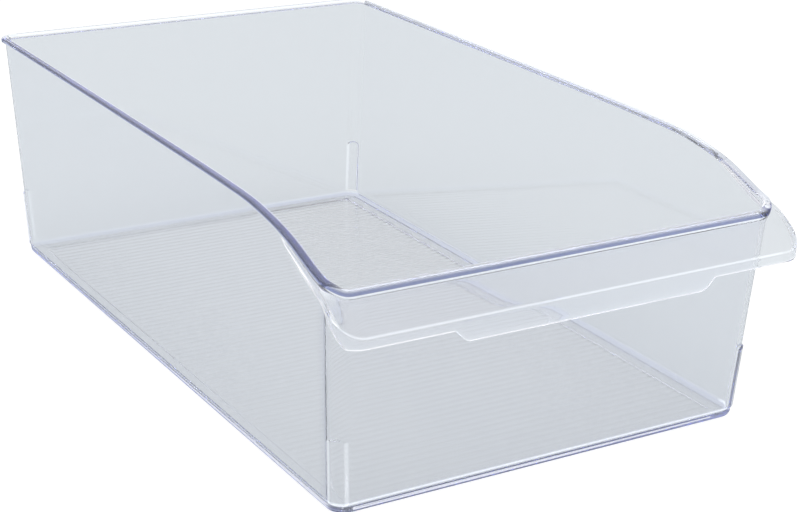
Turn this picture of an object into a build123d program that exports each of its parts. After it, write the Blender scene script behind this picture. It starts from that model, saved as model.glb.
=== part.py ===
"""Clear fridge bin with a sloped handle ledge.

A one-piece injection moulding: a tapered tub with a ribbed floor, a rim bead that runs level
round the back and sides and then sweeps down to a low front, and a hooked handle ledge with a
deeper grip tab in front.  The moulding is divided at its feature boundaries into closed solids
that meet face to face.

Frame: +Z up, +Y to the back, handle towards -Y, origin at the centre of the flat underside.
Millimetres.
"""
import os
from math import cos, radians, sin

from build123d import *

os.makedirs("parts", exist_ok=True)

# ---------------------------------------------------------------- driving dimensions
base_half_x = 99.6        # underside, half width
base_half_y = 170.2       # underside, half depth
height = 115.0            # underside to the top of the level rim
draft = 0.052             # outward lean of every wall, mm per mm of height
corner_r_base = 7.8       # plan radius of the outer corner at the underside
corner_r_top = 7.4        # plan radius of the outer corner at the rim
wall_t = 2.0              # wall thickness
floor_t = 2.4             # floor thickness
edge_r_out = 2.6          # outer rounding where wall and floor meet
edge_r_in = 2.6           # inner rounding where wall and floor meet

rim_out = 1.9             # how far the rim bead stands out of the wall
rim_h = 2.5               # height of the bead
front_rim_z = 95.8        # top of the low front rim
front_low_z = 92.7        # underside of its bead

rib_pitch = 4.65          # spacing of the floor ribs
rib_count = 69
rib_h = 0.3
rib_w = 1.5
floor_half_x = 90.3       # the flat, ribbed field
floor_half_y = 162.0

split_x = 90.3            # where walls give way to corners
split_y = 160.0
base_z = 7.0              # height of the base edge strips

ledge_front_y = -192.0    # outer face of the handle lip
ledge_half_x = 109.2      # widest reach of the handle ledge
ledge_corner_r = 10.5
ledge_start_y = -137.0    # where the ledge grows out from under the bead
ledge_t = 2.1             # vertical thickness of the sloping ledge
ledge_edge_z = 82.8       # top of the ledge at its outer edge
lip_t = 1.8
lip_bottom_z = 78.3
tab_bottom_z = 73.2
tab_half_top = 61.4
tab_half_bottom = 56.4

post_foot_z = 4.0         # the corner posts stiffen the lower part of each upright corner
post_top_z = 33.4
post_out = 0.7            # how far a post stands proud of the corner
post_half_w = 4.1         # half width of a post, across the corner diagonal

big = 400.0

# side view of the rim along the sides: (y, z) of the underside of the bead, back to front
bead_low = [
    (185.0, 112.6), (60.0, 112.4), (0.0, 112.15), (-50.0, 111.9), (-84.0, 111.5),
    (-104.0, 111.1), (-112.0, 110.6), (-118.0, 109.9), (-124.5, 109.0), (-131.0, 107.9),
    (-137.5, 106.6), (-143.4, 105.1), (-149.0, 103.2), (-154.8, 101.1), (-160.7, 98.9),
    (-164.6, 97.55), (-167.5, 96.65),
]
# side view of the top of the bead, one bead height above it, measured square to the sweep
bead_top = [
    (185.0, 115.1), (60.0, 114.9), (0.0, 114.65), (-50.0, 114.4), (-84.5, 114.0),
    (-104.8, 113.5), (-113.0, 113.0), (-119.0, 112.3), (-125.5, 111.4), (-132.1, 110.25),
    (-138.7, 108.85), (-144.6, 107.3), (-150.0, 105.5), (-155.8, 103.4), (-161.6, 101.25),
    (-164.9, 100.15), (-167.5, 99.35),
]
# round each front corner the sweep runs on to the level front: heights every 15 degrees,
# from the side to the front, about an upright axis at the middle of the corner rounding
corner_axis_x = 96.9
corner_axis_y = -167.5
corner_low = [96.65, 96.15, 95.5, 94.65, 93.65, 92.95, 92.7]
corner_top = [99.35, 98.85, 98.25, 97.5, 96.65, 96.0, 95.8]


def keep(x0, x1, y0, y1, z0=-1.0, z1=200.0):
    """Keep only what lies inside this block of space."""
    with Locations(((x0 + x1) / 2, (y0 + y1) / 2, (z0 + z1) / 2)):
        Box(x1 - x0, y1 - y0, z1 - z0, mode=Mode.INTERSECT)


# ---------------------------------------------------------------- construction solids
# outer skin of the tub
with BuildPart() as tub_outer:
    with BuildSketch(Plane.XY):
        RectangleRounded(2 * base_half_x, 2 * base_half_y, corner_r_base)
    with BuildSketch(Plane.XY.offset(height + 3)):
        RectangleRounded(
            2 * (base_half_x + draft * (height + 3)),
            2 * (base_half_y + draft * (height + 3)),
            corner_r_top,
        )
    loft(ruled=True)
    fillet(tub_outer.faces().sort_by(Axis.Z)[0].edges(), edge_r_out)

# the hollow
with BuildPart() as cavity:
    with BuildSketch(Plane.XY.offset(floor_t)):
        RectangleRounded(
            2 * (base_half_x + draft * floor_t - wall_t),
            2 * (base_half_y + draft * floor_t - wall_t),
            corner_r_base - wall_t,
        )
    with BuildSketch(Plane.XY.offset(height + 3)):
        RectangleRounded(
            2 * (base_half_x + draft * (height + 3) - wall_t),
            2 * (base_half_y + draft * (height + 3) - wall_t),
            corner_r_top - wall_t,
        )
    loft(ruled=True)
    fillet(cavity.faces().sort_by(Axis.Z)[0].edges(), edge_r_in)

# everything below the underside of the bead: a block cut to the side view of the sweep, a level
# block behind the front, and a quarter turn of changing height round each front corner
with BuildPart() as low_sides:
    with BuildSketch(Plane.YZ):
        with BuildLine():
            low_curve = Spline(bead_low)
            Polyline(low_curve @ 1, (corner_axis_y, -5.0), (185.0, -5.0), low_curve @ 0)
        make_face()
    extrude(amount=big / 2, both=True)

with BuildPart() as low_corner:
    for step, z in enumerate(corner_low):
        turn = Plane(
            origin=(-corner_axis_x, corner_axis_y, 0.0),
            x_dir=(-cos(radians(15.0 * step)), -sin(radians(15.0 * step)), 0.0),
            z_dir=(-sin(radians(15.0 * step)), cos(radians(15.0 * step)), 0.0),
        )
        with BuildSketch(turn):
            Polygon((2.0, 80.0), (48.0, 80.0), (48.0, z), (2.0, z), align=None)
    loft()

with BuildPart() as under_bead:
    add(low_sides.part)
    add(low_corner.part)
    mirror(low_corner.part, about=Plane.YZ)
    with Locations((0.0, corner_axis_y - 24.0, (front_low_z - 5.0) / 2)):
        Box(2 * corner_axis_x, 48.0, front_low_z + 5.0)
    with Locations((0.0, 0.0, 37.5)):
        Box(big, big, 85.0)

# the same up to the top of the bead
with BuildPart() as top_sides:
    with BuildSketch(Plane.YZ):
        with BuildLine():
            top_curve = Spline(bead_top)
            Polyline(top_curve @ 1, (corner_axis_y, -5.0), (185.0, -5.0), top_curve @ 0)
        make_face()
    extrude(amount=big / 2, both=True)

with BuildPart() as top_corner:
    for step, z in enumerate(corner_top):
        turn = Plane(
            origin=(-corner_axis_x, corner_axis_y, 0.0),
            x_dir=(-cos(radians(15.0 * step)), -sin(radians(15.0 * step)), 0.0),
            z_dir=(-sin(radians(15.0 * step)), cos(radians(15.0 * step)), 0.0),
        )
        with BuildSketch(turn):
            Polygon((2.0, 80.0), (16.0, 80.0), (16.0, z), (2.0, z), align=None)
    loft()

with BuildPart() as under_top:
    add(top_sides.part)
    add(top_corner.part)
    mirror(top_corner.part, about=Plane.YZ)
    with Locations((0.0, corner_axis_y - 12.0, (front_rim_z - 5.0) / 2)):
        Box(2 * corner_axis_x, 24.0, front_rim_z + 5.0)
    with Locations((0.0, 0.0, 37.5)):
        Box(big, big, 85.0)

# walls, floor and corners in one skin
with BuildPart() as tub_skin:
    add(tub_outer.part)
    add(cavity.part, mode=Mode.SUBTRACT)
    add(under_bead.part, mode=Mode.INTERSECT)

# the bead all round
with BuildPart() as bead:
    with BuildSketch(Plane.XY.offset(90.0)):
        RectangleRounded(
            2 * (base_half_x + draft * 90.0 + rim_out),
            2 * (base_half_y + draft * 90.0 + rim_out),
            corner_r_top + rim_out,
        )
    with BuildSketch(Plane.XY.offset(height + 3)):
        RectangleRounded(
            2 * (base_half_x + draft * (height + 3) + rim_out),
            2 * (base_half_y + draft * (height + 3) + rim_out),
            corner_r_top + rim_out,
        )
    loft(ruled=True)
    add(cavity.part, mode=Mode.SUBTRACT)
    add(under_top.part, mode=Mode.INTERSECT)
    add(under_bead.part, mode=Mode.SUBTRACT)

# ---------------------------------------------------------------- floor
with BuildPart() as floor_panel:
    add(tub_skin.part)
    keep(-floor_half_x, floor_half_x, -floor_half_y, floor_half_y, -1.0, base_z)
    # fine ribs across the width, each a low trapezium
    with BuildSketch(Plane.YZ):
        with Locations((0.0, floor_t - 0.05)):
            with GridLocations(rib_pitch, 1.0, rib_count, 1):
                Polygon(
                    (-rib_w / 2, 0.0), (rib_w / 2, 0.0),
                    (rib_w / 4, rib_h + 0.05), (-rib_w / 4, rib_h + 0.05), align=None,
                )
    extrude(amount=floor_half_x - 0.6, both=True)
floor_panel.part.label = "floor_panel"
export_step(floor_panel.part, "parts/floor_panel.step")

# ---------------------------------------------------------------- base edges
with BuildPart() as base_edge_left:
    add(tub_skin.part)
    keep(-120.0, -floor_half_x, -split_y, split_y, -1.0, base_z)
base_edge_left.part.label = "base_edge_left"
export_step(base_edge_left.part, "parts/base_edge_left.step")

with BuildPart() as base_edge_right:
    mirror(base_edge_left.part, about=Plane.YZ)
base_edge_right.part.label = "base_edge_right"
export_step(base_edge_right.part, "parts/base_edge_right.step")

with BuildPart() as base_edge_front:
    add(tub_skin.part)
    keep(-split_x, split_x, -200.0, -floor_half_y, -1.0, base_z)
base_edge_front.part.label = "base_edge_front"
export_step(base_edge_front.part, "parts/base_edge_front.step")

with BuildPart() as base_edge_back:
    mirror(base_edge_front.part, about=Plane.XZ)
base_edge_back.part.label = "base_edge_back"
export_step(base_edge_back.part, "parts/base_edge_back.step")

# ---------------------------------------------------------------- walls
with BuildPart() as left_wall:
    add(tub_skin.part)
    keep(-130.0, -60.0, -split_y, split_y, base_z, 200.0)
left_wall.part.label = "left_wall"
export_step(left_wall.part, "parts/left_wall.step")

with BuildPart() as right_wall:
    mirror(left_wall.part, about=Plane.YZ)
right_wall.part.label = "right_wall"
export_step(right_wall.part, "parts/right_wall.step")

with BuildPart() as front_wall:
    add(tub_skin.part)
    keep(-split_x, split_x, -200.0, -split_y, base_z, 200.0)
front_wall.part.label = "front_wall"
export_step(front_wall.part, "parts/front_wall.step")

with BuildPart() as back_wall:
    add(tub_skin.part)
    keep(-split_x, split_x, split_y, 200.0, base_z, 200.0)
back_wall.part.label = "back_wall"
export_step(back_wall.part, "parts/back_wall.step")

# ---------------------------------------------------------------- upright corners
with BuildPart() as corner_front_left:
    add(tub_skin.part)
    keep(-130.0, -split_x, -200.0, -split_y, -1.0, 200.0)
    with Locations((0.0, 0.0, 0.0)):
        Box(2 * floor_half_x, 2 * floor_half_y, 2 * base_z, mode=Mode.SUBTRACT)
corner_front_left.part.label = "corner_front_left"
export_step(corner_front_left.part, "parts/corner_front_left.step")

with BuildPart() as corner_front_right:
    mirror(corner_front_left.part, about=Plane.YZ)
corner_front_right.part.label = "corner_front_right"
export_step(corner_front_right.part, "parts/corner_front_right.step")

with BuildPart() as corner_back_left:
    add(tub_skin.part)
    keep(-130.0, -split_x, split_y, 200.0, -1.0, 200.0)
    with Locations((0.0, 0.0, 0.0)):
        Box(2 * floor_half_x, 2 * floor_half_y, 2 * base_z, mode=Mode.SUBTRACT)
corner_back_left.part.label = "corner_back_left"
export_step(corner_back_left.part, "parts/corner_back_left.step")

with BuildPart() as corner_back_right:
    mirror(corner_back_left.part, about=Plane.YZ)
corner_back_right.part.label = "corner_back_right"
export_step(corner_back_right.part, "parts/corner_back_right.step")

# the part of the left and right base edges that reaches under the corner pieces stays with them

# ---------------------------------------------------------------- corner posts
with BuildPart() as corner_post_front_left:
    with BuildSketch(Plane.XY.offset(post_foot_z)):
        with Locations((0.0, 0.0)):
            RectangleRounded(
                2 * (base_half_x + draft * post_foot_z + post_out),
                2 * (base_half_y + draft * post_foot_z + post_out), corner_r_base + post_out,
            )
    with BuildSketch(Plane.XY.offset(post_top_z)):
        RectangleRounded(
            2 * (base_half_x + draft * post_top_z + post_out),
            2 * (base_half_y + draft * post_top_z + post_out), corner_r_base + post_out,
        )
    loft(ruled=True)
    with Locations(Location((-base_half_x, -base_half_y, 0.0), (0.0, 0.0, 45.0))):
        Box(24.0, 2 * post_half_w, 200.0, mode=Mode.INTERSECT)
    add(tub_outer.part, mode=Mode.SUBTRACT)
corner_post_front_left.part.label = "corner_post_front_left"
export_step(corner_post_front_left.part, "parts/corner_post_front_left.step")

with BuildPart() as corner_post_front_right:
    mirror(corner_post_front_left.part, about=Plane.YZ)
corner_post_front_right.part.label = "corner_post_front_right"
export_step(corner_post_front_right.part, "parts/corner_post_front_right.step")

with BuildPart() as corner_post_back_left:
    mirror(corner_post_front_left.part, about=Plane.XZ)
corner_post_back_left.part.label = "corner_post_back_left"
export_step(corner_post_back_left.part, "parts/corner_post_back_left.step")

with BuildPart() as corner_post_back_right:
    mirror(corner_post_back_left.part, about=Plane.YZ)
corner_post_back_right.part.label = "corner_post_back_right"
export_step(corner_post_back_right.part, "parts/corner_post_back_right.step")

# ---------------------------------------------------------------- rim bead
with BuildPart() as rim_back:
    add(bead.part)
    keep(-split_x, split_x, split_y, 200.0)
rim_back.part.label = "rim_back"
export_step(rim_back.part, "parts/rim_back.step")

with BuildPart() as rim_corner_back_left:
    add(bead.part)
    keep(-130.0, -split_x, split_y, 200.0)
rim_corner_back_left.part.label = "rim_corner_back_left"
export_step(rim_corner_back_left.part, "parts/rim_corner_back_left.step")

with BuildPart() as rim_corner_back_right:
    mirror(rim_corner_back_left.part, about=Plane.YZ)
rim_corner_back_right.part.label = "rim_corner_back_right"
export_step(rim_corner_back_right.part, "parts/rim_corner_back_right.step")

with BuildPart() as rim_left:
    add(bead.part)
    keep(-130.0, -split_x, -100.0, split_y)
rim_left.part.label = "rim_left"
export_step(rim_left.part, "parts/rim_left.step")

with BuildPart() as rim_right:
    mirror(rim_left.part, about=Plane.YZ)
rim_right.part.label = "rim_right"
export_step(rim_right.part, "parts/rim_right.step")

with BuildPart() as rim_sweep_left:
    add(bead.part)
    keep(-130.0, -split_x, -split_y, -100.0)
rim_sweep_left.part.label = "rim_sweep_left"
export_step(rim_sweep_left.part, "parts/rim_sweep_left.step")

with BuildPart() as rim_sweep_right:
    mirror(rim_sweep_left.part, about=Plane.YZ)
rim_sweep_right.part.label = "rim_sweep_right"
export_step(rim_sweep_right.part, "parts/rim_sweep_right.step")

with BuildPart() as rim_corner_front_left:
    add(bead.part)
    keep(-130.0, -split_x, -200.0, -split_y)
rim_corner_front_left.part.label = "rim_corner_front_left"
export_step(rim_corner_front_left.part, "parts/rim_corner_front_left.step")

with BuildPart() as rim_corner_front_right:
    mirror(rim_corner_front_left.part, about=Plane.YZ)
rim_corner_front_right.part.label = "rim_corner_front_right"
export_step(rim_corner_front_right.part, "parts/rim_corner_front_right.step")

with BuildPart() as rim_front:
    add(bead.part)
    keep(-split_x, split_x, -200.0, -split_y)
rim_front.part.label = "rim_front"
export_step(rim_front.part, "parts/rim_front.step")

# ---------------------------------------------------------------- handle ledge, lip and tab
# Side view.  The top of the ledge is cut flush with the underside of the bead down the sweep, then
# slopes on to the lip; the ledge thins to nothing up the sides.
ledge_crest = [(y, z + 0.6) for y, z in bead_low] + [
    (-170.3, 96.4), (-172.2, 95.65), (-174.1, 94.8), (-175.6, 93.8), (-176.9, 92.8),
]
ledge_bottom = [
    (-200.0, ledge_edge_z - ledge_t - 5.0), (ledge_front_y, ledge_edge_z - ledge_t),
    (-177.0, 92.7 - ledge_t), (-166.2, 97.1 - ledge_t), (-154.8, 101.1 - 0.85 * ledge_t),
    (-143.4, 105.1 - 0.45 * ledge_t), (ledge_start_y + 2.0, 107.9), (-110.0, 124.0),
]

with BuildPart() as ledge_profile:
    with BuildSketch(Plane.YZ):
        with BuildLine():
            ledge_top = Spline(ledge_crest)
            Polyline(
                ledge_top @ 1, (ledge_front_y, ledge_edge_z), (-200.0, ledge_edge_z - 5.0),
                (-200.0, 60.0), (185.0, 60.0), ledge_top @ 0,
            )
        make_face()
        with BuildLine():
            Polyline(*ledge_bottom, (185.0, 130.0), (185.0, 50.0), (-200.0, 50.0), ledge_bottom[0])
        make_face(mode=Mode.SUBTRACT)
    extrude(amount=big / 2, both=True)

# side view of the lip: level in front, fading to nothing round the corners
with BuildPart() as lip_profile:
    with BuildSketch(Plane.YZ):
        with BuildLine():
            Polyline(
                (-198.0, lip_bottom_z), (-188.6, lip_bottom_z), (-175.6, 91.1), ledge_bottom[2],
                ledge_bottom[1], (-198.0, ledge_edge_z - ledge_t), (-198.0, lip_bottom_z),
            )
        make_face()
    extrude(amount=big / 2, both=True)

# plan of the handle, and the same plan less the thickness of the lip
with BuildPart() as handle_plan:
    with BuildSketch(Plane.XY.offset(60.0)) as plan_sketch:
        with BuildLine():
            Polyline(
                (-ledge_half_x, ledge_front_y), (ledge_half_x, ledge_front_y),
                (ledge_half_x, -175.0), (108.1, -146.0), (107.0, ledge_start_y), (107.0, -100.0),
                (-107.0, -100.0), (-107.0, ledge_start_y), (-108.1, -146.0), (-ledge_half_x, -175.0),
                (-ledge_half_x, ledge_front_y),
            )
        make_face()
        fillet(plan_sketch.vertices().group_by(Axis.Y)[0], ledge_corner_r)
    extrude(amount=80.0)
    add(tub_outer.part, mode=Mode.SUBTRACT)

with BuildPart() as lip_plan:
    with BuildSketch(Plane.XY.offset(60.0)) as lip_sketch:
        add(plan_sketch.sketch)
        offset(amount=-lip_t, mode=Mode.SUBTRACT)
    extrude(amount=80.0)

with BuildPart() as ledge:
    add(handle_plan.part)
    add(ledge_profile.part, mode=Mode.INTERSECT)
    add(under_bead.part, mode=Mode.INTERSECT)

with BuildPart() as lip:
    add(lip_plan.part)
    add(lip_profile.part, mode=Mode.INTERSECT)

lip_split_x = ledge_half_x - ledge_corner_r

with BuildPart() as handle_ledge:
    add(ledge.part)
    keep(-lip_split_x, lip_split_x, -200.0, -split_y)
handle_ledge.part.label = "handle_ledge"
export_step(handle_ledge.part, "parts/handle_ledge.step")

with BuildPart() as handle_wing_left:
    add(ledge.part)
    keep(-130.0, -lip_split_x, -200.0, -120.0)
handle_wing_left.part.label = "handle_wing_left"
export_step(handle_wing_left.part, "parts/handle_wing_left.step")

with BuildPart() as handle_wing_right:
    mirror(handle_wing_left.part, about=Plane.YZ)
handle_wing_right.part.label = "handle_wing_right"
export_step(handle_wing_right.part, "parts/handle_wing_right.step")

with BuildPart() as handle_lip:
    add(lip.part)
    keep(-lip_split_x, lip_split_x, -200.0, -split_y)
handle_lip.part.label = "handle_lip"
export_step(handle_lip.part, "parts/handle_lip.step")

with BuildPart() as lip_corner_left:
    add(lip.part)
    keep(-130.0, -lip_split_x, -200.0, -split_y)
lip_corner_left.part.label = "lip_corner_left"
export_step(lip_corner_left.part, "parts/lip_corner_left.step")

with BuildPart() as lip_corner_right:
    mirror(lip_corner_left.part, about=Plane.YZ)
lip_corner_right.part.label = "lip_corner_right"
export_step(lip_corner_right.part, "parts/lip_corner_right.step")

with BuildPart() as grip_tab:
    with BuildSketch(Plane.XZ.offset(-ledge_front_y)) as tab_sketch:
        with BuildLine():
            Polyline(
                (-tab_half_top, lip_bottom_z), (tab_half_top, lip_bottom_z),
                (tab_half_bottom + 1.4, tab_bottom_z), (-tab_half_bottom - 1.4, tab_bottom_z),
                (-tab_half_top, lip_bottom_z),
            )
        make_face()
        fillet(tab_sketch.vertices().group_by(Axis.Y)[0], 3.0)
    extrude(amount=-lip_t)
grip_tab.part.label = "grip_tab"
export_step(grip_tab.part, "parts/grip_tab.step")
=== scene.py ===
"""Looks of the clear fridge bin: one watertight moulding in clear plastic, a pale floor, soft studio light."""
import math

import bmesh
import bpy
import numpy as np
from mathutils import Matrix, Vector


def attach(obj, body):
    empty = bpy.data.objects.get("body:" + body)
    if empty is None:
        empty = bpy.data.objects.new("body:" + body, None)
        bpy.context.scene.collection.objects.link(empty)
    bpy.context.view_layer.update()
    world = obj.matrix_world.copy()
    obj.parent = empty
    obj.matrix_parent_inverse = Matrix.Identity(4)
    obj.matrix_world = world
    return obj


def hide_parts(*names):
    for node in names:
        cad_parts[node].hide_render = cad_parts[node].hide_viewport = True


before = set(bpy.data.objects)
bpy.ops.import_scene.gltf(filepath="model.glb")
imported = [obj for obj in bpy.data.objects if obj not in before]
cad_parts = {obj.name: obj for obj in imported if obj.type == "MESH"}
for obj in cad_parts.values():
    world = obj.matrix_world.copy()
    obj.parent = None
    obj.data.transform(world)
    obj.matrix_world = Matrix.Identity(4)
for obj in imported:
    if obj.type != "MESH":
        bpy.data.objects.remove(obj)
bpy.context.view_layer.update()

scene = bpy.context.scene

# ------------------------------------------------------------------ sizes, millimetres
BASE_X, BASE_Y = 99.6, 170.2
DRAFT = 0.052
R_BASE, R_SLOPE = 7.8, 0.4 / 118.0
WALL = 2.0
FLOOR = 2.4
R_OUT = 2.5
R_IN = 2.6
RIM_OUT = 1.9
LEDGE_Y = -192.0
LEDGE_X = 109.2
LEDGE_R = 10.5
LEDGE_T = 2.1
LIP_T = 1.8
LIP_LOW = 78.3
TAB_LOW = 73.2
TAB_TOP_X, TAB_LOW_X = 61.4, 56.4
FIELD_X, FIELD_Y = 90.3, 162.0
RIB_PITCH, RIB_H, RIB_N = 4.65, 0.10, 69
POST_OUT = 0.7
POST_LOW, POST_TOP = 4.0, 33.4

# side view of the rim: underside and top of the bead against y
LOW = np.array([
    (185.0, 112.6), (60.0, 112.4), (0.0, 112.15), (-50.0, 111.9), (-84.0, 111.5),
    (-104.0, 111.1), (-112.0, 110.6), (-118.0, 109.9), (-124.5, 109.0), (-131.0, 107.9),
    (-137.5, 106.6), (-143.4, 105.1), (-149.0, 103.2), (-154.8, 101.1), (-160.7, 98.9),
    (-164.6, 97.55), (-167.5, 96.65)])
TOP = np.array([
    (185.0, 115.1), (60.0, 114.9), (0.0, 114.65), (-50.0, 114.4), (-84.5, 114.0),
    (-104.8, 113.5), (-113.0, 113.0), (-119.0, 112.3), (-125.5, 111.4), (-132.1, 110.25),
    (-138.7, 108.85), (-144.6, 107.3), (-150.0, 105.5), (-155.8, 103.4), (-161.6, 101.25),
    (-164.9, 100.15), (-167.5, 99.35)])
# heights round the front corner, every 15 degrees from the side to the front
C_LOW = np.array([96.65, 96.15, 95.5, 94.65, 93.65, 92.95, 92.7])
C_TOP = np.array([99.35, 98.85, 98.25, 97.5, 96.65, 96.0, 95.8])
# height of the handle's outer edge against y
EDGE = np.array([
    (-110.0, 110.75), (-137.0, 106.7), (-146.0, 104.25), (-154.0, 101.4), (-161.0, 98.85),
    (-167.5, 96.6), (-170.0, 95.8), (-172.0, 95.0), (-174.2, 94.1), (-176.9, 92.6),
    (-180.1, 90.6), (-192.0, 82.8)])


def smooth_interp(x, pts):
    """Monotone cubic through the points (x may run either way)."""
    p = pts[np.argsort(pts[:, 0])]
    xs, ys = p[:, 0], p[:, 1]
    h = np.diff(xs)
    d = np.diff(ys) / h
    m = np.zeros(len(xs))
    m[0], m[-1] = d[0], d[-1]
    for i in range(1, len(xs) - 1):
        if d[i - 1] * d[i] > 0:
            w1, w2 = 2 * h[i] + h[i - 1], h[i] + 2 * h[i - 1]
            m[i] = (w1 + w2) / (w1 / d[i - 1] + w2 / d[i])
    x = np.clip(np.asarray(x, float), xs[0], xs[-1])
    k = np.clip(np.searchsorted(xs, x, side="right") - 1, 0, len(h) - 1)
    t = (x - xs[k]) / h[k]
    return ((1 + 2 * t) * (1 - t) ** 2 * ys[k] + t * (1 - t) ** 2 * h[k] * m[k]
            + t * t * (3 - 2 * t) * ys[k + 1] + t * t * (t - 1) * h[k] * m[k + 1])


def smoothstep(a, b, x):
    t = min(1.0, max(0.0, (x - a) / (b - a)))
    return t * t * (3 - 2 * t)


PHI = np.array([(15.0 * i, z) for i, z in enumerate(C_LOW)])
PHI_TOP = np.array([(15.0 * i, z) for i, z in enumerate(C_TOP)])


def half_x(z):
    return BASE_X + DRAFT * z


def half_y(z):
    return BASE_Y + DRAFT * z


def radius(z):
    return R_BASE - R_SLOPE * z


# ------------------------------------------------------------------ columns round the wall
# A column is (kind, value, sx, sy): kind "side" or "end" with value -1..1 along it, or "corner"
# with an angle from the side (0) to the end (90).
def side_values():
    """Columns down a side, front to back, denser where the rim sweeps."""
    ys = list(np.arange(-163.0, -130.0, 1.0)) + list(np.arange(-130.0, -80.0, 2.0)) + [-78.0, -70.0, -60.0, -48.0, -34.0, -17.0, 0.0,
                                                   20.0, 40.0, 60.0, 80.0, 100.0, 120.0, 140.0,
                                                   155.0, 162.0]
    return [y / 167.94 for y in ys]


def end_values():
    xs = [0.0, 12.0, 24.0, 36.0, 46.0, 52.0]
    xs += list(np.arange(54.0, 64.01, 0.5))
    xs += [66.0, 70.0, 76.0, 82.0, 88.0, 92.0, 95.0]
    xs = [-x for x in xs[:0:-1]] + xs
    return [x / 96.93 for x in xs]


def corner_angles():
    return sorted(set([round(a, 3) for a in np.arange(0.0, 90.01, 3.75)]
                      + [12.5, 14.0, 17.0, 20.5, 24.0, 25.5, 64.5, 66.0, 69.5, 73.0, 76.0, 77.5]))


columns = []
# anticlockwise from the middle of the front, seen from above
ends, sides, angles = end_values(), side_values(), corner_angles()
mid = len(ends) // 2
for v in ends[mid:]:
    columns.append(("end", v, 1, -1))
for a in angles[::-1]:
    columns.append(("corner", a, 1, -1))
for v in sides:
    columns.append(("side", v, 1, -1))
for a in angles:
    columns.append(("corner", a, 1, 1))
for v in ends[::-1]:
    columns.append(("end", v, 1, 1))
for a in angles[::-1]:
    columns.append(("corner", a, -1, 1))
for v in sides[::-1]:
    columns.append(("side", v, -1, -1))
for a in angles:
    columns.append(("corner", a, -1, -1))
for v in ends[:mid]:
    columns.append(("end", v, -1, -1))


def at(col, d, z):
    """Plan position of a column at height z, d outside the outer wall face."""
    kind, v, sx, sy = col
    ax, ay = half_x(z) - radius(z), half_y(z) - radius(z)
    if kind == "end":
        return v * ax, sy * (half_y(z) + d)
    if kind == "side":
        return sx * (half_x(z) + d), v * ay
    c, s = math.cos(math.radians(v)), math.sin(math.radians(v))
    r = radius(z) + d
    return sx * (ax + r * c), sy * (ay + r * s)


def is_front(col):
    return (col[0] == "end" and col[3] < 0) or (col[0] == "corner" and col[3] < 0)


def rim_heights(col):
    kind, v, sx, sy = col
    if kind == "side":
        y = v * 167.94
        return float(smooth_interp(y, LOW)), float(smooth_interp(y, TOP))
    if kind == "corner" and sy < 0:
        return float(smooth_interp(v, PHI)), float(smooth_interp(v, PHI_TOP))
    if kind == "end" and sy < 0:
        return 92.7, 95.8
    y = at(col, 0.0, 112.0)[1]
    return float(smooth_interp(y, LOW)), float(smooth_interp(y, TOP))


# ------------------------------------------------------------------ plan of the handle
OUTLINE_S = [(107.0, -137.0), (108.1, -146.0), (108.92, -167.5)]
CORNER_PATH = [(108.92, -167.5), (109.2, -175.0), (109.2, -181.5)]
CORNER_PATH += [(98.7 + 10.5 * math.cos(t), -181.5 - 10.5 * math.sin(t))
                for t in np.linspace(0, math.pi / 2, 40)[1:]]
CORNER_PATH += [(96.93, -192.0)]
CORNER_PATH = np.array(CORNER_PATH)
PATH_LEN = np.r_[0, np.cumsum(np.hypot(*np.diff(CORNER_PATH, axis=0).T))]


def outline(col):
    """(point on the handle's outer edge, unit normal) of a column, in plan."""
    kind, v, sx, sy = col
    if kind == "end":
        return (v * 96.93, LEDGE_Y), (0.0, -1.0)
    if kind == "corner":
        # more of the columns go to the rounded part
        t = v / 90.0
        s = PATH_LEN[-1] * t
        x = float(np.interp(s, PATH_LEN, CORNER_PATH[:, 0]))
        y = float(np.interp(s, PATH_LEN, CORNER_PATH[:, 1]))
        if y >= -181.5:
            n = (1.0, 0.0)
        elif x > 98.7:
            n = ((x - 98.7) / 10.5, (y + 181.5) / 10.5)
        else:
            n = (0.0, -1.0)
        return (sx * x, y), (sx * n[0], n[1])
    y = v * 167.94
    x = float(np.interp(-y, [-p[1] for p in OUTLINE_S], [p[0] for p in OUTLINE_S]))
    return (sx * x, y), (float(sx), 0.0)


def thickness(y):
    return float(np.interp(-y, [136.0, 143.4, 154.8, 166.2], [0.0, 0.95, 1.79, LEDGE_T]))


def tab_low(x):
    """Height of the lip's lower edge along the front."""
    a = abs(x)
    slope = (TAB_TOP_X - TAB_LOW_X) / (LIP_LOW - TAB_LOW)
    line = LIP_LOW - (TAB_TOP_X - a) / slope
    r = 2.2

    def round_min(p, q, k):
        h = max(k - abs(p - q), 0.0) / k
        return min(p, q) - h * h * k * 0.25

    low = -round_min(-max(line, TAB_LOW - 3.0), -TAB_LOW, r)
    return min(LIP_LOW, low) if low > TAB_LOW else TAB_LOW


def bezier(a, c, b, n):
    out = []
    for t in np.linspace(0.0, 1.0, n):
        out.append(tuple((1 - t) ** 2 * a[i] + 2 * t * (1 - t) * c[i] + t * t * b[i] for i in range(3)))
    return out


def lerp3(a, b, t):
    return tuple(a[i] + (b[i] - a[i]) * t for i in range(3))


def run(a, b, n, first=False, last=True):
    ts = np.linspace(0.0, 1.0, n + 1)
    if not first:
        ts = ts[1:]
    if not last:
        ts = ts[:-1]
    return [lerp3(a, b, float(t)) for t in ts]


EPS = 0.03


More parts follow.
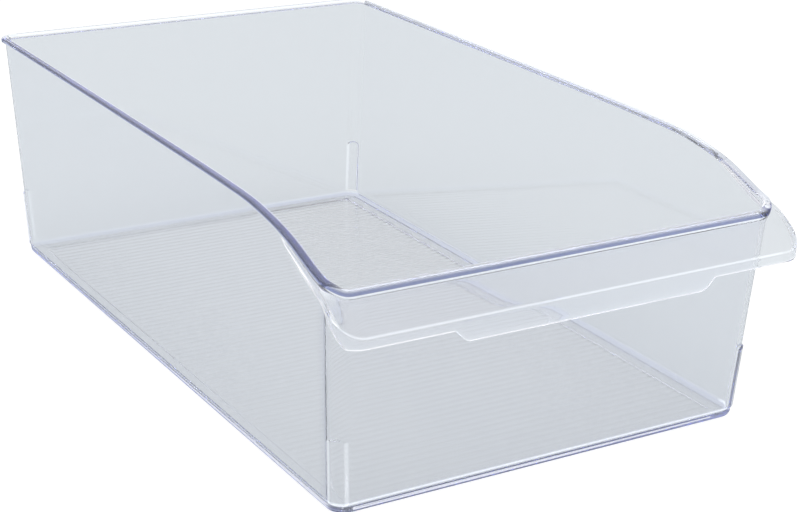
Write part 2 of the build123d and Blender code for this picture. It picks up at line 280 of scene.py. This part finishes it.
def handle_path(col, z_low):
    """From the wall under the handle, out and round the lip and back to the bead's lower edge."""
    kind, v, sx, sy = col
    (ox, oy), (nx, ny) = outline(col)
    y_ref = oy
    t = thickness(y_ref)
    zo = float(smooth_interp(oy, EDGE))
    t = max(t, EPS * 4)
    wx, wy = at(col, 0.0, z_low - t)
    bx, by = at(col, RIM_OUT, z_low)
    reach = math.hypot(ox - bx, oy - by)
    # inside face of the lip
    lt = min(LIP_T, 0.62 * math.hypot(ox - wx, oy - wy))
    ix, iy = ox - nx * lt, oy - ny * lt
    zi = zo + (z_low - zo) * min(1.0, lt / max(reach, lt + 1e-6)) * 0.98
    under_i = zi - t
    under_o = zo - t
    if kind == "end":
        z_bot = tab_low(ox)
    else:
        line = 78.3 if oy <= -188.6 else 78.3 + (oy + 188.6) * (91.1 - 78.3) / 13.0
        z_bot = line if oy < -175.6 else 1e9
    z_bot = min(z_bot, under_o - EPS)
    drop = max(under_i - z_bot, EPS * 2)
    rb = min(0.55, 0.42 * lt)
    rb_in = max(EPS, min(rb, 0.45 * drop))
    w0 = (wx, wy, z_low - t)
    u1 = (ix, iy, under_i)
    pts = [w0]
    # a small fillet where the underside meets the inside of the lip
    rf = min(1.0, 0.4 * drop, 0.4 * math.hypot(ix - wx, iy - wy))
    tow = lerp3(u1, w0, rf / max(1e-6, math.dist(u1, w0)))
    down = (ix, iy, under_i - rf)
    pts += run(w0, tow, 6)
    pts += bezier(tow, u1, down, 5)[1:]
    b_in = (ix, iy, z_bot + rb_in)
    pts += run(down, b_in, 4)
    c_in = (ix, iy, z_bot)
    f_in = (ix + nx * rb, iy + ny * rb, z_bot)
    pts += bezier(b_in, c_in, f_in, 5)[1:]
    f_out = (ox - nx * rb, oy - ny * rb, z_bot)
    pts += run(f_in, f_out, 1)
    face = zo - z_bot
    rb_out = min(rb, 0.42 * face)
    b_out = (ox, oy, z_bot + rb_out)
    pts += bezier(f_out, (ox, oy, z_bot), b_out, 5)[1:]
    # outer face up to the ridge
    rr = min(1.0, 0.45 * face)
    r0 = (ox, oy, zo - rr)
    pts += run(b_out, r0, 4)
    be = (bx, by, z_low)
    ridge = (ox, oy, zo)
    rr2 = min(1.2, 0.45 * max(reach, 1e-3))
    r1 = lerp3(ridge, be, rr2 / max(1e-6, math.dist(ridge, be)))
    pts += bezier(r0, ridge, r1, 7)[1:]
    # the slope back to the bead
    rc = min(0.7, 0.4 * max(reach, 1e-3))
    s1 = lerp3(be, ridge, rc / max(1e-6, math.dist(be, ridge)))
    pts += run(r1, s1, 8)
    up = (at(col, RIM_OUT, z_low + 0.5)[0], at(col, RIM_OUT, z_low + 0.5)[1], z_low + 0.5)
    pts += bezier(s1, be, up, 5)[1:]
    return pts


def plain_path(col, z_low, n):
    """The same rows along the bead's underside, where there is no handle."""
    r = 0.8
    flat = n - 4
    pts = []
    for k in range(flat):
        d = (RIM_OUT - r) * k / (flat - 1)
        x, y = at(col, d, z_low)
        pts.append((x, y, z_low))
    for k in range(1, 5):
        a = math.pi / 2 * k / 4
        d = RIM_OUT - r + r * math.sin(a)
        z = z_low + r * (1 - math.cos(a))
        x, y = at(col, d, z)
        pts.append((x, y, z))
    return pts


def post_amount(col, z):
    """How far the corner post stands out of the wall at this column and height."""
    if col[0] != "corner":
        return 0.0
    a = col[1]
    span = smoothstep(11.0, 25.0, a) * (1 - smoothstep(65.0, 79.0, a))
    if span <= 0:
        return 0.0
    arch = 1.1 * ((a - 45.0) / 27.0) ** 2
    return POST_OUT * span * smoothstep(POST_LOW - 0.2, POST_LOW + 1.0, z) \
        * (1 - smoothstep(POST_TOP - 0.55 - arch, POST_TOP - arch, z))


POST_ROWS = [2.6, 3.2, 3.8, 4.1, 4.4, 4.7, 5.0, 6.0, 10.0, 16.0, 24.0, 29.0, 31.0,
             31.6, 31.9, 32.2, 32.5, 32.8, 33.1, 33.4, 33.8, 36.0]


def section(col):
    """All points of one column's section, from the underside, up the outside, over the rim and
    down the inside to the flat of the floor."""
    z_low, z_top = rim_heights(col)
    y_out = outline(col)[0][1] if (is_front(col) or col[0] == "side") else 999.0
    if is_front(col):
        e = 1.0
    elif col[0] == "side":
        e = smoothstep(134.0, 142.0, -y_out)
    else:
        e = 0.0
    pts = []
    # foot: outer rounding between the underside and the wall
    lean = math.atan(DRAFT)
    for k in range(9):
        a = (math.pi / 2 - lean) * k / 8
        z = R_OUT * (1 - math.cos(a))
        d = -R_OUT + R_OUT * math.sin(a)
        d -= DRAFT * z * 0.0
        x, y = at(col, d, z)
        pts.append((x, y, z))
    # handle rows
    if e > 0:
        hp = handle_path(col, z_low)
        n = len(hp)
        pp = plain_path(col, z_low, n)
        ex = [lerp3(pp[i], hp[i], e) for i in range(n)]
    else:
        n = len(handle_path(("end", 0.0, 1, -1), 92.7))
        ex = plain_path(col, z_low, n)
    z_under = ex[0][2]
    # outer wall
    for z in POST_ROWS:
        x, y = at(col, post_amount(col, z), z)
        pts.append((x, y, z))
    for f in np.linspace(0, 1, 10)[1:-1]:
        z = 36.0 + (z_under - 36.0) * float(f)
        x, y = at(col, 0.0, z)
        pts.append((x, y, z))
    pts += ex
    # bead: outer face, rounded top, inner edge
    front = smoothstep(0.0, 60.0, col[1]) if (col[0] == "corner" and col[3] < 0) else (
        1.0 if is_front(col) else 0.0)
    r_o = 1.2 + 0.8 * front
    r_i = 1.5 - 0.4 * front
    z0 = ex[-1][2]
    z1 = z_top - r_o
    for f in (0.5, 1.0):
        z = z0 + (z1 - z0) * f
        x, y = at(col, RIM_OUT, z)
        pts.append((x, y, z))
    for k in range(1, 7):
        a = math.pi / 2 * k / 6
        d = RIM_OUT - r_o + r_o * math.cos(a)
        z = z1 + r_o * math.sin(a)
        x, y = at(col, d, z)
        pts.append((x, y, z))
    for f in (0.5, 1.0):
        d = (RIM_OUT - r_o) + (-WALL + r_i - (RIM_OUT - r_o)) * f
        x, y = at(col, d, z_top)
        pts.append((x, y, z_top))
    for k in range(1, 9):
        a = math.pi / 2 * k / 8
        d = -WALL + r_i - r_i * math.sin(a)
        z = z_top - r_i + r_i * math.cos(a)
        x, y = at(col, d, z)
        pts.append((x, y, z))
    # inner wall
    zt = z_top - r_i
    zb = FLOOR + R_IN * (1 - math.sin(lean))
    for f in np.linspace(0, 1, 15)[1:]:
        z = zt + (zb - zt) * float(f)
        x, y = at(col, -WALL, z)
        pts.append((x, y, z))
    for k in range(1, 9):
        a = (math.pi / 2 - lean) * k / 8
        z = FLOOR + R_IN * (1 - math.sin(lean + a))
        d = -WALL - R_IN * (math.cos(lean) - math.cos(lean + a))
        x, y = at(col, d, max(z, FLOOR))
        pts.append((x, y, max(z, FLOOR)))
    return pts


sections = [section(c) for c in columns]
rows = len(sections[0])
assert all(len(s) == rows for s in sections)
M = 0.001

bm = bmesh.new()
# vertex layer for a violet darkening of the surface: partly the plastic's cast, partly painted shade
bm.verts.layers.float.new("violet_cast_and_painted_shade")
# vertex layer for painted glow and painted highlights, fed to the emission colour
bm.verts.layers.float_color.new("painted_edge_glow")
cast_and_shade = bm.verts.layers.float["violet_cast_and_painted_shade"]
glow = bm.verts.layers.float_color["painted_edge_glow"]
grid = []
for s in sections:
    grid.append([bm.verts.new((x * M, y * M, z * M)) for x, y, z in s])
ncol = len(grid)


def rim_cast_and_shade(col):
    """The rim's outer face: partly the plastic's violet cast, partly painted shade, strongest at the front and
    left.
    """
    kind, v, sx, sy = col
    if kind == "end":
        return 1.0 if sy < 0 else 0.15
    if kind == "side":
        return 0.9 if sx < 0 else 0.15
    if sy < 0:
        return 1.0 if sx < 0 else 0.15 + 0.85 * smoothstep(10.0, 55.0, v)
    return 0.15 + 0.75 * (1 - smoothstep(20.0, 70.0, v)) if sx < 0 else 0.15


DARK = (0.0, 0.0, 0.0, 1.0)
for v in bm.verts:
    v[glow] = DARK

FACE_ROW = 9 + len(POST_ROWS) + 8 + len(handle_path(("end", 0.0, 1, -1), 92.7)) - 1
# darkening of the rim's outer face rows, row by row: partly violet cast, partly painted shade
FACE_CAST_AND_SHADE = [0.0, 1.0, 1.0, 1.0, 0.85, 0.4, 0.05, 0.0]
for i in range(ncol):
    for k, f in enumerate(FACE_CAST_AND_SHADE):
        grid[i][FACE_ROW + k][cast_and_shade] = f * rim_cast_and_shade(columns[i])

# painted glow and painted highlights: a faint emission along the edges, violet in the dark bands and white as
# highlight lines on the roundings
E0 = FACE_ROW - (len(handle_path(("end", 0.0, 1, -1), 92.7)) - 1)
TOP_ROW = FACE_ROW + 2 + 6                      # last row of the outer rounding
PAINTED_VIOLET_GLOW = (0.020, 0.026, 0.075)
PAINTED_HIGHLIGHT = (0.93, 0.97, 1.0)


def handle_amount(col):
    if is_front(col):
        return 1.0
    if col[0] == "side":
        return smoothstep(143.0, 160.0, -outline(col)[0][1])
    return 0.0


def add_painted_glow(i, k, colour, amount):
    v = grid[i][k]
    old = v[glow]
    v[glow] = tuple(old[c] + colour[c] * amount for c in range(3)) + (1.0,)


for i in range(ncol):
    col = columns[i]
    kind, val, sx, sy = col
    left = 1.0 if (kind == "side" and sx < 0) else 0.0
    front_on = 1.0 if (kind == "end" and sy < 0) else 0.0
    if kind == "corner" and sy < 0:
        front_on = smoothstep(35.0, 80.0, val)
        left = (1.0 - front_on) if sx < 0 else 0.4 * (1.0 - front_on)
    if kind == "corner" and sy > 0 and sx < 0:
        left = 1.0 - smoothstep(20.0, 60.0, val)
    rest = max(0.0, 1.0 - left - front_on)
    # painted glow in the left and front rim bands, painted highlight lines on the top rounding
    for k in range(1, 9):
        add_painted_glow(i, FACE_ROW + k, PAINTED_VIOLET_GLOW, 1.0 * left + (0.25 if k < 5 else 0.0) * front_on)
    sweep = smoothstep(128.0, 140.0, -at(col, 0.0, 100.0)[1])
    for k in range(0, 9):
        soft = 0.28 - 0.22 * sweep if sx > 0 else 0.2
        if kind == "end":
            soft = 0.03 if k < 4 else 0.3
        add_painted_glow(i, TOP_ROW + k, PAINTED_HIGHLIGHT, 0.40 * front_on + soft * rest)
    for k, f in ((5, 0.06), (6, 0.22), (7, 0.36), (8, 0.05)):
        add_painted_glow(i, FACE_ROW + k, PAINTED_HIGHLIGHT, f * front_on)
    for k, f in ((1, 1.0), (2, 0.8), (3, 0.2)):
        add_painted_glow(i, TOP_ROW + k, PAINTED_VIOLET_GLOW, left * f)
    for k, f in ((2, 0.05), (3, 0.3), (4, 0.45), (5, 0.45), (6, 0.3), (7, 0.1)):
        add_painted_glow(i, TOP_ROW + k, PAINTED_HIGHLIGHT, f * left)
    # painted highlight lines along the handle's ridge, lip and slope
    h = handle_amount(col)
    if kind == "side":
        h *= 0.22 if sx < 0 else 0.03
    elif kind == "corner" and sx < 0:
        h *= 0.22 + 0.78 * smoothstep(10.0, 60.0, val)
    elif kind == "corner":
        h *= 0.03 + 0.6 * smoothstep(30.0, 80.0, val)
    if h > 0:
        for k, f in ((43, 0.1), (44, 0.3), (45, 0.3)):
            add_painted_glow(i, E0 + k, PAINTED_HIGHLIGHT, f * h)
        for k, f in ((29, 0.08), (30, 0.26), (31, 0.26), (32, 0.08)):
            add_painted_glow(i, E0 + k, PAINTED_HIGHLIGHT, f * h)
        for k, f in ((18, 0.08), (19, 0.12), (20, 0.2), (21, 0.26), (22, 0.26),
                     (23, 0.12), (24, 0.06), (25, 0.05), (26, 0.05), (27, 0.04)):
            add_painted_glow(i, E0 + k, PAINTED_HIGHLIGHT, f * h)
    # painted shade and painted glow: the foot and the front corners carry a little of the same violet darkening
    # and a faint blue-white glow
    for k in range(1, 9):
        grid[i][k][cast_and_shade] = 0.30
        add_painted_glow(i, k, (0.55, 0.6, 0.85), 0.10)
    for k in range(7, 12):
        add_painted_glow(i, k, (0.55, 0.6, 0.8), 0.12)
    # painted shade: darker violet lines on the right front flank, along the right rim's inner edge and round the
    # back end
    if sx > 0 and sy < 0 and kind != "end":
        outer = 1.0 if kind == "side" else 1.0 - smoothstep(40.0, 75.0, val)
        for k in range(26, 32):
            grid[i][E0 + k][cast_and_shade] = 0.4 * outer * (handle_amount(col) if kind == "side" else 1.0)
    if sx > 0 and kind == "side":
        for k in (6, 7, 8):
            grid[i][TOP_ROW + k][cast_and_shade] = 0.75
        for k in range(-5, 6):
            grid[i][TOP_ROW + k][cast_and_shade] = max(grid[i][TOP_ROW + k][cast_and_shade], 0.16 + 0.20 * sweep)
    if sy > 0 and kind == "end":
        for k in range(-6, 4):
            grid[i][TOP_ROW + k][cast_and_shade] = max(grid[i][TOP_ROW + k][cast_and_shade], 0.15)
    # painted shade: a darker violet line down the front corners
    if kind == "corner" and sy < 0:
        line = float(np.interp(val, [0.0, 3.75, 7.5, 11.25, 15.0], [0.2, 0.42, 0.42, 0.15, 0.0])) if sx < 0 else \
            float(np.interp(val, [58.0, 63.0, 72.0, 78.0], [0.0, 0.4, 0.4, 0.0]))
        for k in range(9, E0):
            if sx < 0 or k < 9 + len(POST_ROWS) - 4:
                grid[i][k][cast_and_shade] = max(grid[i][k][cast_and_shade], line)
    # painted highlight: a white line along the inner floor fillet at the front
    if sy < 0 and kind != "side":
        for k, f in ((-8, 0.42), (-7, 0.42), (-6, 0.1)):
            add_painted_glow(i, rows + k, PAINTED_HIGHLIGHT, f)
    # painted highlight: faint white glints on the flanks of the corner posts
    if kind == "corner":
        flank = smoothstep(9.0, 15.0, val) * (1 - smoothstep(21.0, 27.0, val)) \
            + smoothstep(63.0, 69.0, val) * (1 - smoothstep(75.0, 81.0, val))
        for n, z in enumerate(POST_ROWS):
            if POST_LOW + 0.6 < z < POST_TOP - 1.4:
                add_painted_glow(i, 9 + n, PAINTED_HIGHLIGHT, 0.16 * flank)
for i in range(ncol):
    j = (i + 1) % ncol
    for k in range(rows - 1):
        a, b, c, d = grid[i][k], grid[j][k], grid[j][k + 1], grid[i][k + 1]
        bm.faces.new((a, b, c, d))


# ------------------------------------------------------------------ floor: a ribbed field inside a flat border
def field_lines():
    ys = []
    first = -RIB_PITCH * (RIB_N - 1) / 2
    for k in range(RIB_N):
        c = first + k * RIB_PITCH
        for dy, h in ((-1.9, 0.0), (-1.3, 0.07), (-0.7, 0.22), (0.0, 0.3), (0.7, 0.22), (1.3, 0.07), (1.9, 0.0)):
            ys.append((c + dy, h / 0.3 * RIB_H))
    return [(-FIELD_Y, 0.0)] + ys + [(FIELD_Y, 0.0)]


STEP = 0.22                       # the field lies this much below the border
lines = field_lines()
xs = [-FIELD_X, -FIELD_X + 0.5, -FIELD_X + 1.1, -45.0, 0.0, 45.0, FIELD_X - 1.1, FIELD_X - 0.5, FIELD_X]
field = []
for n, (y, h) in enumerate(lines):
    row = []
    for m, x in enumerate(xs):
        edge = m in (0, len(xs) - 1) or n in (0, len(lines) - 1)
        full = 2 <= m <= len(xs) - 3
        z = FLOOR if edge else FLOOR - STEP + (h if full else 0.0)
        row.append(bm.verts.new((x * M, y * M, z * M)))
    field.append(row)
for n in range(len(field) - 1):
    for m in range(len(xs) - 1):
        bm.faces.new((field[n][m], field[n][m + 1], field[n + 1][m + 1], field[n + 1][m]))
bm.verts.index_update()


def fill_between(loop_a, loop_b=None):
    edges = []
    for loop in (loop_a, loop_b):
        if loop is None:
            continue
        for i in range(len(loop)):
            a, b = loop[i], loop[(i + 1) % len(loop)]
            edges.append(bm.edges.get((a, b)) or bm.edges.new((a, b)))
    bmesh.ops.triangle_fill(bm, use_beauty=True, use_dissolve=False, edges=edges)


outer_top = [grid[i][-1] for i in range(ncol)]
field_loop = ([field[0][m] for m in range(len(xs))]
              + [field[n][-1] for n in range(1, len(field))]
              + [field[-1][m] for m in range(len(xs) - 2, -1, -1)]
              + [field[n][0] for n in range(len(field) - 2, 0, -1)])
fill_between(outer_top, field_loop)

# underside: a foot all round and a panel set up by a hair inside it
foot = []
for c in columns:
    kind, v, sx, sy = c
    ax, ay = 88.2, 159.4
    if kind == "end":
        p = (v * ax, sy * (ay + 3.0))
    elif kind == "side":
        p = (sx * (ax + 3.0), v * ay)
    else:
        p = (sx * (ax + 3.0 * math.cos(math.radians(v))), sy * (ay + 3.0 * math.sin(math.radians(v))))
    foot.append(p)
foot_low = [bm.verts.new((x * M, y * M, 0.0)) for x, y in foot]
fill_between([grid[i][0] for i in range(ncol)], foot_low)
foot_top = [bm.verts.new((x * (90.6 / 91.2) * M, y * (161.8 / 162.4) * M, 0.5 * M)) for x, y in foot]
for i in range(ncol):
    j = (i + 1) % ncol
    bm.faces.new((foot_low[i], foot_low[j], foot_top[j], foot_top[i]))
bm.faces.new(foot_top)

shell = {v for line in grid for v in line}
for v in bm.verts:
    if v not in shell:
        v[glow] = DARK

bmesh.ops.recalc_face_normals(bm, faces=bm.faces)
mesh = bpy.data.meshes.new("bin_moulding")
bm.to_mesh(mesh)
open_edges = sum(1 for e in bm.edges if len(e.link_faces) != 2)
volume = bm.calc_volume() * 1e6
bm.free()
print("MESH", len(mesh.vertices), len(mesh.polygons), "open", open_edges, "volume cm3", round(volume, 1))

bin_ob = bpy.data.objects.new("bin_moulding", mesh)
scene.collection.objects.link(bin_ob)
for p in mesh.polygons:
    p.use_smooth = True
# creases stay crisp, roundings stay smooth
mesh.set_sharp_from_angle(angle=math.radians(32))
wn = bin_ob.modifiers.new("weighted", "WEIGHTED_NORMAL")
wn.keep_sharp = True
wn.weight = 80
wn.mode = "FACE_AREA"

# ------------------------------------------------------------------ clear plastic
mat = bpy.data.materials.new("clear_plastic")
mat.use_nodes = True
nt = mat.node_tree
nt.nodes.clear()
out = nt.nodes.new("ShaderNodeOutputMaterial")
bsdf = nt.nodes.new("ShaderNodeBsdfPrincipled")
bsdf.inputs["Base Color"].default_value = (0.985, 0.99, 1.0, 1.0)
bsdf.inputs["Transmission Weight"].default_value = 0.97
bsdf.inputs["IOR"].default_value = 1.53
bsdf.inputs["Roughness"].default_value = 0.02
nt.links.new(bsdf.outputs[0], out.inputs["Surface"])
# the shade layer pulls the base colour toward dark violet: partly the plastic's cast, partly painted shade
edge = nt.nodes.new("ShaderNodeAttribute")
edge.attribute_name = "violet_cast_and_painted_shade"
cast_and_shade_mix = nt.nodes.new("ShaderNodeMix")
cast_and_shade_mix.data_type = "RGBA"
cast_and_shade_mix.inputs["A"].default_value = (0.985, 0.99, 1.0, 1.0)
cast_and_shade_mix.inputs["B"].default_value = (0.16, 0.19, 0.40, 1.0)
nt.links.new(edge.outputs["Fac"], cast_and_shade_mix.inputs["Factor"])
nt.links.new(cast_and_shade_mix.outputs["Result"], bsdf.inputs["Base Color"])
# painted glow and painted highlights: the glow layer drives the emission colour
painted_glow_attr = nt.nodes.new("ShaderNodeAttribute")
painted_glow_attr.attribute_name = "painted_edge_glow"
nt.links.new(painted_glow_attr.outputs["Color"], bsdf.inputs["Emission Color"])
bsdf.inputs["Emission Strength"].default_value = 1.0
absorb = nt.nodes.new("ShaderNodeVolumeAbsorption")
absorb.inputs["Color"].default_value = (0.42, 0.45, 0.78, 1.0)
absorb.inputs["Density"].default_value = 12.0
nt.links.new(absorb.outputs[0], out.inputs["Volume"])
# faint mould texture: a long soft ripple and a very fine grain
tc = nt.nodes.new("ShaderNodeTexCoord")
mp = nt.nodes.new("ShaderNodeMapping")
mp.inputs["Scale"].default_value = (9.0, 9.0, 14.0)
nt.links.new(tc.outputs["Object"], mp.inputs["Vector"])
ripple = nt.nodes.new("ShaderNodeTexNoise")
ripple.inputs["Scale"].default_value = 1.6
ripple.inputs["Detail"].default_value = 1.0
nt.links.new(mp.outputs["Vector"], ripple.inputs["Vector"])
bump = nt.nodes.new("ShaderNodeBump")
bump.inputs["Strength"].default_value = 0.04
bump.inputs["Distance"].default_value = 0.0015
nt.links.new(ripple.outputs["Fac"], bump.inputs["Height"])
nt.links.new(bump.outputs["Normal"], bsdf.inputs["Normal"])
grain = nt.nodes.new("ShaderNodeTexNoise")
grain.inputs["Scale"].default_value = 60.0
grain.inputs["Detail"].default_value = 3.0
nt.links.new(tc.outputs["Object"], grain.inputs["Vector"])
rmap = nt.nodes.new("ShaderNodeMapRange")
rmap.inputs["To Min"].default_value = 0.012
rmap.inputs["To Max"].default_value = 0.045
nt.links.new(grain.outputs["Fac"], rmap.inputs["Value"])
nt.links.new(rmap.outputs["Result"], bsdf.inputs["Roughness"])
mesh.materials.append(mat)

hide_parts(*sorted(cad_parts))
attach(bin_ob, "root")

# ------------------------------------------------------------------ studio
floor_mesh = bpy.data.meshes.new("studio_floor")
fb = bmesh.new()
bmesh.ops.create_grid(fb, x_segments=2, y_segments=2, size=6.0)
fb.to_mesh(floor_mesh)
fb.free()
floor_ob = bpy.data.objects.new("studio_floor", floor_mesh)
floor_ob.location = (0.0, 0.0, -0.0002)
scene.collection.objects.link(floor_ob)
fmat = bpy.data.materials.new("studio_floor")
fmat.use_nodes = True
fnt = fmat.node_tree
fnt.nodes.clear()
fout = fnt.nodes.new("ShaderNodeOutputMaterial")


def lit(colour, glow):
    """A diffuse sheet lit from below as well, like a light table."""
    d = fnt.nodes.new("ShaderNodeBsdfDiffuse")
    d.inputs["Color"].default_value = colour + (1.0,)
    e = fnt.nodes.new("ShaderNodeEmission")
    e.inputs["Color"].default_value = glow + (1.0,)
    e.inputs["Strength"].default_value = 1.0
    add = fnt.nodes.new("ShaderNodeAddShader")
    fnt.links.new(d.outputs[0], add.inputs[0])
    fnt.links.new(e.outputs[0], add.inputs[1])
    return add


# two copies of the floor: the bright one for camera rays, and a darker blue-grey one for rays through the
# plastic, which is painted shade
seen = lit((0.25, 0.25, 0.25), (0.88, 0.88, 0.88))
shaded_floor_copy = lit((0.37, 0.38, 0.38), (0.435, 0.465, 0.49))
lp = fnt.nodes.new("ShaderNodeLightPath")
fmix = fnt.nodes.new("ShaderNodeMixShader")
fnt.links.new(lp.outputs["Is Camera Ray"], fmix.inputs[0])
fnt.links.new(shaded_floor_copy.outputs[0], fmix.inputs[1])
fnt.links.new(seen.outputs[0], fmix.inputs[2])
fnt.links.new(fmix.outputs[0], fout.inputs["Surface"])
floor_mesh.materials.append(fmat)


def lamp(name, loc, target, size, power, colour=(1, 1, 1)):
    d = bpy.data.lights.new(name, "AREA")
    d.shape = "RECTANGLE"
    d.size, d.size_y = size
    d.energy = power
    d.color = colour
    o = bpy.data.objects.new(name, d)
    o.location = loc
    o.rotation_euler = (Vector(target) - Vector(loc)).to_track_quat("-Z", "Y").to_euler()
    scene.collection.objects.link(o)
    return o


# one softbox overhead, to the right
lamp("over", (0.75, 0.1, 1.1), (0.35, 0.1, 0.0), (0.9, 1.2), 0.25)

world = bpy.data.worlds.new("studio")
scene.world = world
world.use_nodes = True
wnt = world.node_tree
bg = wnt.nodes["Background"]
bg.inputs["Strength"].default_value = 0.88
bg.inputs["Color"].default_value = (1.0, 1.0, 1.0, 1.0)

# ------------------------------------------------------------------ camera
AZ, EL, ROLL = math.radians(-30.6156), math.radians(21.4302), math.radians(1.1893)
F_PX, CX, CY = 1825.208, 383.949, 295.802
K = 0.9455
back = Vector((math.sin(AZ) * math.cos(EL), -math.cos(AZ) * math.cos(EL), math.sin(EL)))
fwd = -back
right = fwd.cross(Vector((0, 0, 1))).normalized()
up = right.cross(fwd)
rr = math.cos(ROLL) * right + math.sin(ROLL) * up
uu = -math.sin(ROLL) * right + math.cos(ROLL) * up
target = Vector((-41.147, -106.689, 60.0)) * K * M
cam_loc = target + back * (807.606 * K * M)
cam = bpy.data.cameras.new("camera")
cam.sensor_width = 36.0
cam.lens = 36.0 * F_PX / 798.0
cam.shift_x = (399.0 - CX) / 798.0
cam.shift_y = (CY - 256.0) / 798.0
cam.dof.use_dof = False
cam.clip_start, cam.clip_end = 0.01, 50.0
cam_ob = bpy.data.objects.new("camera", cam)
rot = Matrix((rr, uu, back)).transposed()
cam_ob.matrix_world = Matrix.Translation(cam_loc) @ rot.to_4x4()
scene.collection.objects.link(cam_ob)
scene.camera = cam_ob

scene.view_settings.view_transform = "Standard"
scene.view_settings.look = "None"
scene.view_settings.exposure = 0.0
scene.view_settings.gamma = 1.0
scene.cycles.max_bounces = 96
scene.cycles.transmission_bounces = 96
scene.cycles.glossy_bounces = 96
scene.cycles.diffuse_bounces = 6
